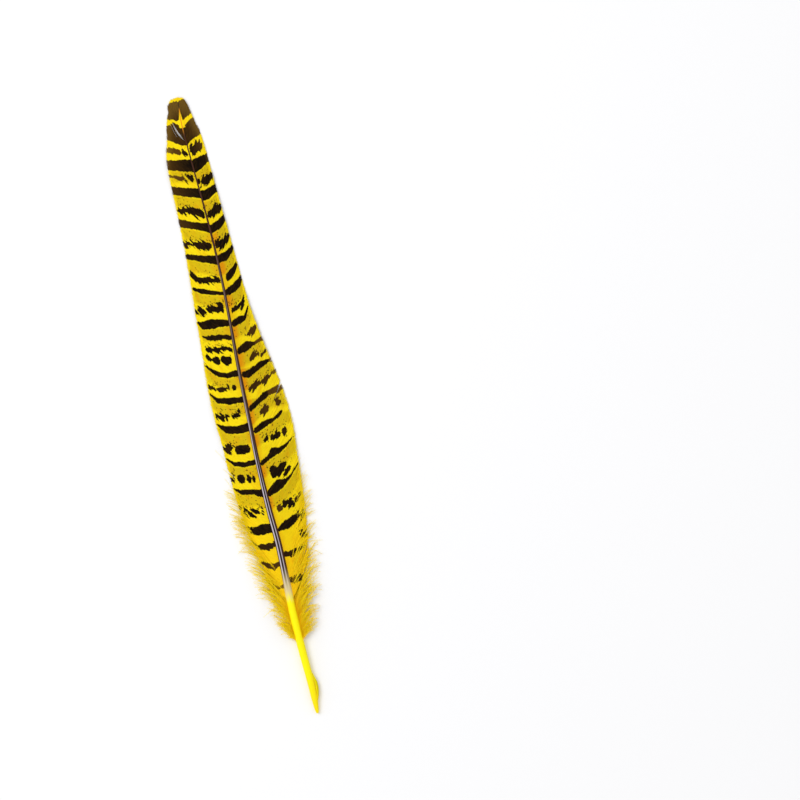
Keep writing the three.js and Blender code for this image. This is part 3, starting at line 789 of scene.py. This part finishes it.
def strand_tubes(centres, half_width, half_height, tilt=0.0):
    """Slim closed tubes with four sides along rows of centre points: points, face groups and baking sheet.

    On the sheet each tube is one row, its upper walls in the left half and its lower walls in the right.
    """
    rows, steps, _ = centres.shape
    forward = np.gradient(centres, axis=1)
    sideways = unit(np.stack([-forward[..., 1], forward[..., 0], np.zeros((rows, steps))], axis=-1))
    wide = sideways * half_width[..., None]
    high = UP * half_height[..., None]
    lean = UP * (half_width * tilt)[..., None]
    rings = np.stack([centres + wide - lean, centres + high, centres - wide + lean, centres - high], axis=2)

    number = np.arange(rows * steps * TUBE_SIDES).reshape(rows, steps, TUBE_SIDES)
    following = np.roll(number, -1, axis=2)
    walls = np.stack([number[:, :-1], following[:, :-1], following[:, 1:], number[:, 1:]], axis=-1)
    ends = np.concatenate([number[:, 0, ::-1], number[:, -1]])

    row, step, wall = np.indices((rows, steps - 1, TUBE_SIDES))
    lower = wall // 2
    near = (step / (steps - 1) + lower) / 2
    far = ((step + 1) / (steps - 1) + lower) / 2
    start = (row + (wall % 2) / 2) / rows
    stop = (row + (wall % 2 + 1) / 2) / rows
    wall_uv = np.stack([near, start, near, stop, far, stop, far, start], axis=-1)
    end_uv = np.repeat((np.tile(np.arange(rows), 2) + 0.5)[:, None] / rows, 2 * TUBE_SIDES, axis=1)
    return rings, [walls.reshape(-1, TUBE_SIDES), ends], [wall_uv, end_uv]


def on_rings(values):
    """Values of centre points, repeated for the four points round each."""
    return np.repeat(np.asarray(values, float)[..., None], TUBE_SIDES, axis=-1)


def running_length(centres):
    """The distance along each row of points from its first point."""
    steps = np.linalg.norm(np.diff(centres, axis=1), axis=-1)
    return np.cumsum(np.concatenate([np.zeros((len(centres), 1)), steps], axis=1), axis=1)


def locks_of(roots, rng):
    """Groups neighbouring barbs into locks: the middle of each barb's lock, and how it gathers and lies."""
    middle, gather, shift, lift = (np.zeros_like(roots) for _ in range(4))
    start = 0
    while start < len(roots):
        stop = min(start + int(rng.integers(*BARBS_IN_A_LOCK)), len(roots))
        middle[start:stop] = roots[start:stop].mean()
        gather[start:stop] = rng.uniform(*LOCK_GATHER)
        shift[start:stop] = rng.normal(0, LOCK_SHIFT)
        lift[start:stop] = rng.normal(0, LOCK_LIFT)
        start = stop
    return middle[:, None], gather[:, None], shift[:, None], lift[:, None]


def split_shift(side, root, share):
    """How far barbs beside the splits of a vane are pushed along the feather."""
    shift = np.zeros(np.broadcast_shapes(root.shape, share.shape))
    for split_side, station, pushes in SPLITS:
        if split_side == side:
            near = np.exp(-np.abs(root - station) / SPLIT_SPREAD)
            shift = shift + np.interp(share, *zip(*pushes)) * near * np.sign(root - station)
    return shift


def barb_lines(side, roots, rng):
    """Barbs' shares of length, margins, looseness, distances out, stations as grown and now, and heights."""
    middle, gather, shift, lift = locks_of(roots, rng)
    each = (BARBS, 1)
    share = np.linspace(0, 1, BARB_STEPS + 1)[None, :]
    root = roots[:, None]
    margin = margin_station(roots, side)[:, None]
    loose = np.clip((LOOSE_TO - root) / (LOOSE_TO - BARRED_START), 0, 1)
    reach = rng.uniform(*BARB_REACH, each) - loose * rng.uniform(0, LOOSE_SHORTER, each)
    calm = np.clip((LAST_BARB_ROOT - root) / CALM_TIP, 0, 1)

    across = WIDTH_OF[side](margin) * reach * share * (1 + barb_bow(root) * (1 - share))
    grown = root + (margin - root) * reach * share * (1 - BARB_SWEEP * (1 - share))
    pulled = gather * (middle - root) + shift + rng.normal(0, BARB_SHIFT, each)
    pulled = pulled + loose * rng.normal(0, LOOSE_SHIFT, each)
    station = np.minimum(grown + pulled * calm * share**PULL_POWER, FEATHER_LENGTH)

    root_height = shaft_height(root) + shaft_radius(root) * ROOT_RISE
    wave = np.sin(MARGIN_WAVES * 2 * math.pi * margin / FEATHER_LENGTH + side)
    margin_height = MARGIN_HEIGHT + MARGIN_WAVE * (1 + wave) / 2
    height = root_height + (margin_height - root_height) * share**DROOP_POWER
    unrest = lift + rng.normal(0, BARB_LIFT, each) + loose * rng.uniform(0, LOOSE_LIFT, each)
    height = height + np.maximum(unrest, LOWEST_LIFT) * share**LIFT_POWER
    return share, margin, loose, across, grown, station, height


def barb_half_width(centres):
    """Half the width that lets each barb overlap its neighbours, along every barb."""
    step = np.gradient(centres, axis=0)
    forward = unit(np.gradient(centres, axis=1))
    gap = np.linalg.norm(step - (step * forward).sum(-1, keepdims=True) * forward, axis=-1)
    return np.clip(gap * BARB_OVERLAP / 2, *BARB_HALF_WIDTH)


def vane(side, material):
    """One vane: hundreds of barbs from the shaft to the margin, in locks, with splits between some."""
    rng = np.random.default_rng(VANE_SEED[side])
    roots = np.linspace(BARRED_START, LAST_BARB_ROOT, BARBS)
    root = roots[:, None]
    share, margin, loose, across, grown, station, height = barb_lines(side, roots, rng)
    centres = place(side * across, station, height)
    taper = 1 - TAPER * np.clip((share - TAPER_FROM) / (1 - TAPER_FROM), 0, 1)
    half_width = barb_half_width(centres) * taper * (1 - LOOSE_SLIMMER * loose * share)
    half_height = np.full_like(half_width, BARB_HALF_HEIGHT) * taper
    centres[..., 1] += split_shift(side, root, share)
    centres[..., 1] = np.minimum(centres[..., 1], FEATHER_LENGTH / 2)
    rings, faces, sheet = strand_tubes(centres, half_width, half_height, BARB_TILT * side)

    painted = grown + BARS_FOLLOW * (station - grown)
    depth, strength = bar_depth(side, painted, across, rng)
    dull, specked = ground_shade(side, painted, across)
    along_barbs = {
        "depth": depth,
        "strength": strength,
        "ground": dull,
        "specked": specked,
        "across": across,
        "inwards": WIDTH_OF[side](margin) - across,
        "station": painted,
        "barb": np.broadcast_to(root, station.shape),
        "along": running_length(centres),
        "side": np.full(station.shape, float(side)),
        "under": np.zeros(station.shape),
    }
    values = {key: on_rings(value) for key, value in along_barbs.items()}
    values["under"][..., -1] = 1.0
    name = "left_vane" if side < 0 else "right_vane"
    return mesh_object(name, rings, faces, sheet, values, material)


def shaft(material):
    """The quill and rachis: a tube that tapers, bends and rises, rounder low down and squarer above."""
    end_station, end_share = zip(*ROUNDED_END)
    station = np.concatenate([end_station, np.linspace(ROUNDED_TO, SHAFT_END, SHAFT_STEPS)])
    round_end = np.concatenate([end_share, np.ones(SHAFT_STEPS)])
    turn = np.linspace(0, 2 * math.pi, SHAFT_SIDES, endpoint=False)
    squareness = 1 - SQUARENESS * np.clip((station - SQUARE_FROM) / SQUARE_OVER, 0, 1)[:, None]
    sine, cosine = np.sin(turn)[None, :], np.cos(turn)[None, :]
    radius = (shaft_radius(station) * round_end)[:, None]
    x = radius * np.sign(cosine) * np.abs(cosine) ** squareness
    z = radius * np.sign(sine) * np.abs(sine) ** squareness
    rows = len(station)
    ring_station = np.broadcast_to(station[:, None], x.shape)
    rings = place(x, ring_station, shaft_height(ring_station) + z).reshape(-1, 3)
    pole_station = np.array([0.0, SHAFT_END])
    poles = place(np.zeros(2), pole_station, shaft_height(pole_station))

    number = np.arange(rows * SHAFT_SIDES).reshape(rows, SHAFT_SIDES)
    following = np.roll(number, -1, axis=1)
    walls = np.stack([number[:-1], number[1:], following[1:], following[:-1]], axis=-1).reshape(-1, 4)
    first_pole = np.full(SHAFT_SIDES, rows * SHAFT_SIDES)
    start = np.stack([first_pole, number[0], following[0]], axis=-1)
    end = np.stack([first_pole + 1, following[-1], number[-1]], axis=-1)

    row, k = np.indices((rows - 1, SHAFT_SIDES))
    low, high = row / rows, (row + 1) / rows
    left, right = k / SHAFT_SIDES, (k + 1) / SHAFT_SIDES
    wall_uv = np.stack([left, low, left, high, right, high, right, low], axis=-1)
    end_corners = (np.array(END_TRIANGLE) + (0, rows - 1)) / (1, rows)
    end_uv = np.tile(end_corners.ravel(), (SHAFT_SIDES, 1))
    values = {
        "station": np.concatenate([ring_station.ravel(), pole_station]),
        "turn": np.concatenate([(x / radius).ravel(), [0.0, 0.0]]),
    }
    points = np.concatenate([rings, poles])
    return mesh_object("shaft", points, [walls, start, end], [wall_uv, end_uv, end_uv], values, material)


def bezier(controls, steps):
    """Points along cubic curves, one row for each set of four control points."""
    u = np.linspace(0, 1, steps + 1)[None, :, None]
    weights = ((1 - u) ** 3, 3 * u * (1 - u) ** 2, 3 * u * u * (1 - u), u**3)
    return sum(weight * control[:, None, :] for weight, control in zip(weights, controls))


def sheath(material):
    """The torn edge of the quill's sheath: a few thin strips that stand off its right side."""
    rng = np.random.default_rng(SHEATH_SEED)
    spread = np.linspace(-0.5, 0.5, SHEATH_STRIPS)
    controls = []
    for station, across in SHEATH_PATH:
        away = across + SHEATH_SPREAD * spread * across
        uneven = station + rng.uniform(-SHEATH_UNEVEN, SHEATH_UNEVEN, SHEATH_STRIPS)
        controls.append(place(away, uneven, SHEATH_HEIGHT - SHEATH_LEAN * spread))
    centres = bezier(controls, DOWN_STEPS)
    fullness = np.sin(math.pi * np.linspace(*SHEATH_ROUNDING, DOWN_STEPS + 1))
    fullness = np.broadcast_to(fullness, centres.shape[:2])
    rings, faces, sheet = strand_tubes(
        centres, SHEATH_HALF_WIDTH * fullness, SHEATH_HALF_HEIGHT * fullness, SHEATH_TILT,
    )
    station = centres[..., 1] + FEATHER_LENGTH / 2
    values = {
        "station": on_rings(station),
        "turn": on_rings(np.broadcast_to(spread[:, None], station.shape)),
    }
    return mesh_object("sheath", rings, faces, sheet, values, material)


def down_lines(side, rng):
    """Where the barbs of the down run: most under the vane, the lowest and a few others over it."""
    count = len(side)
    root = DOWN_START + (DOWN_END - DOWN_START) * rng.uniform(0, 1, count)
    far = rng.uniform(0, 1, count) ** FAR_POWER
    nearest, farther = DOWN_REACH
    span = smooth_through(DOWN_SPAN)(root) * (nearest + farther * far)
    span = np.minimum(span, HALF_SPAN - DOWN_KEEPS_IN)
    low_down = np.clip((WIDE_TO - root) / (WIDE_TO - DOWN_START), 0, 1)
    angle = rng.uniform(*DOWN_ANGLE, count) + WIDER_ANGLE * low_down
    rise = span / np.tan(np.radians(angle))
    bend = rng.normal(0, DOWN_BEND, count)
    over = (root < SOME_OVER_TO) & (rng.uniform(0, 1, count) < SHARE_OVER) | (root < ALL_OVER_TO)
    crest = np.where(over, rng.uniform(*CREST_OVER, count), rng.uniform(*CREST_UNDER, count))
    tip_height = np.where(over, rng.uniform(*TIP_OVER, count), rng.uniform(*TIP_UNDER, count))
    start_height = shaft_height(root) + shaft_radius(root) * np.where(over, 0.0, ROOT_UNDER)
    start = place(np.zeros(count), root, start_height)

    def outwards(share, forwards, height):
        x = start[:, 0] + (side * span - start[:, 0]) * share
        return np.stack([x, start[:, 1] + rise * forwards, height], axis=-1)

    centres = bezier((
        start,
        outwards(*FIRST_TURN, np.where(over, start[:, 2], TURN_HEIGHT_UNDER)),
        outwards(SECOND_TURN[0], SECOND_TURN[1] + bend, crest),
        outwards(1.0, 1.0 + TIP_BEND * bend, tip_height),
    ), DOWN_STEPS)
    u = np.linspace(0, 1, DOWN_STEPS + 1)[None, :]
    ripple = np.sin(rng.uniform(*RIPPLE_RATE, (count, 1)) * u + rng.uniform(*RIPPLE_START, (count, 1)))
    centres[..., 1] += RIPPLE_FORWARDS * ripple * u
    centres[..., 2] += RIPPLE_UPWARDS * ripple * u * (1 - u)
    centres[..., 2] = np.maximum(centres[..., 2], DOWN_LOWEST)
    return centres


def down(material):
    """The loose down: soft barbs that leave the shaft forwards and bend outwards, with fine barbules."""
    rng = np.random.default_rng(DOWN_SEED)
    side = np.repeat([-1.0, 1.0], DOWN_BARBS)
    centres = down_lines(side, rng)
    share = np.broadcast_to(np.linspace(0, 1, DOWN_STEPS + 1), centres.shape[:2])
    fullness = 1 - DOWN_TAPER * share
    seed = rng.uniform(0, 1, len(side))
    rings, faces, sheet = strand_tubes(centres, DOWN_HALF_WIDTH * fullness, DOWN_HALF_HEIGHT * fullness)
    values = {"share": on_rings(share), "seed": on_rings(np.broadcast_to(seed[:, None], share.shape))}
    mesh_object("down", rings, faces, sheet, values, material)
    for name, rows in (("left_barbules", side < 0), ("right_barbules", side > 0)):
        barbules(name, centres[rows], seed[rows], rng, material)


def barbules(name, centres, seed, rng, material):
    """Fine spikes that lean forwards from their barb on all sides, with three sides and a closed base."""
    which = np.repeat(np.arange(len(centres)), BARBULES)
    at = rng.uniform(BARBULES_FROM, 1.0, len(which)) * DOWN_STEPS
    before = np.minimum(at.astype(int), DOWN_STEPS - 1)
    part = (at - before)[:, None]
    base = centres[which, before] * (1 - part) + centres[which, before + 1] * part
    ahead = unit(centres[which, before + 1] - centres[which, before])
    around = rng.normal(0, 1, base.shape) * BARBULE_SPREAD
    around = unit(around - (around * ahead).sum(-1, keepdims=True) * ahead)
    longest, shortening = BARBULE_SHORTENING
    reach = rng.uniform(*BARBULE_LENGTH, len(which)) * (longest - shortening * at / DOWN_STEPS)
    outwards, forwards = BARBULE_LEAN
    direction = around * outwards + ahead * forwards
    tip = base + direction * reach[:, None]
    tip[:, 2] = np.maximum(tip[:, 2], BARBULE_LOWEST)
    tip[:, 0] = np.clip(tip[:, 0], -HALF_SPAN, HALF_SPAN)

    beside = unit(np.cross(direction, ahead))
    half = BARBULE_WIDTH / 2
    behind = base - ahead * half
    points = np.stack([base + ahead * half, behind + beside * half, behind - beside * half, tip], axis=1)
    spike = np.array(SPIKE_FACES)
    corners = len(spike)
    faces = (np.arange(len(which))[:, None, None] * corners + spike).reshape(-1, 3)

    cells = math.ceil(math.sqrt(len(which)))
    corner = np.stack([np.arange(len(which)) % cells, np.arange(len(which)) // cells], axis=-1) / cells
    triangle = np.array(SPIKE_TRIANGLE) / cells
    sheet = np.repeat((corner[:, None, :] + triangle[None])[:, None], corners, axis=1)
    values = {"share": np.repeat(at / DOWN_STEPS, corners), "seed": np.repeat(seed[which], corners)}
    mesh_object(name, points, [faces], [sheet], values, material, smooth=False)


def floor():
    """A plain pale surface under the feather."""
    bpy.ops.mesh.primitive_plane_add(size=FLOOR_SIDE, location=(0, 0, 0))
    plane = bpy.context.object
    plane.name = "floor"
    n = Nodes("floor")
    n.surface("Base Color", FLOOR_WHITE)
    n.surface("Roughness", 0.9)
    n.surface("Specular IOR Level", 0.1)
    plane.data.materials.append(n.material)


def camera():
    """Straight above, turned so that the feather leans as it does in the photograph."""
    dx, dy = TIP_PIXEL[0] - QUILL_PIXEL[0], TIP_PIXEL[1] - QUILL_PIXEL[1]
    pixels = math.hypot(dx, dy)
    scale = FEATHER_LENGTH / pixels
    ahead = (dx / pixels, dy / pixels)
    to_middle = (PHOTO_SIDE / 2 - QUILL_PIXEL[0], PHOTO_SIDE / 2 - QUILL_PIXEL[1])
    station = (to_middle[0] * ahead[0] + to_middle[1] * ahead[1]) * scale
    across = (to_middle[1] * ahead[0] - to_middle[0] * ahead[1]) * scale
    data = bpy.data.cameras.new("camera")
    data.sensor_width = SENSOR_WIDTH
    data.lens = SENSOR_WIDTH * CAMERA_HEIGHT / (PHOTO_SIDE * scale)
    made = bpy.data.objects.new("camera", data)
    made.location = (across * MM, (station - FEATHER_LENGTH / 2) * MM, CAMERA_HEIGHT * MM)
    made.rotation_euler = (0, 0, -math.atan2(-dx, -dy))
    bpy.context.scene.collection.objects.link(made)
    bpy.context.scene.camera = made


def light():
    """Soft even studio light: a large lamp from the upper left of the picture, and a pale surround."""
    scene = bpy.context.scene
    scene.view_settings.view_transform = "Standard"
    world = bpy.data.worlds.new("surround")
    world.use_nodes = True
    surround = world.node_tree.nodes["Background"]
    surround.inputs["Color"].default_value = (1, 1, 1, 1)
    surround.inputs["Strength"].default_value = SURROUND_STRENGTH
    scene.world = world
    data = bpy.data.lights.new("key", "AREA")
    data.energy = KEY_WATTS
    data.size = KEY_SIZE
    made = bpy.data.objects.new("key", data)
    made.location = KEY_PLACE
    made.rotation_euler = Vector(KEY_PLACE).to_track_quat("Z", "Y").to_euler()
    scene.collection.objects.link(made)


camera()
light()
floor()
barred = vane_material()
vane(-1, barred)
vane(1, barred)
horn = shaft_material()
shaft(horn)
sheath(horn)
down(down_material())
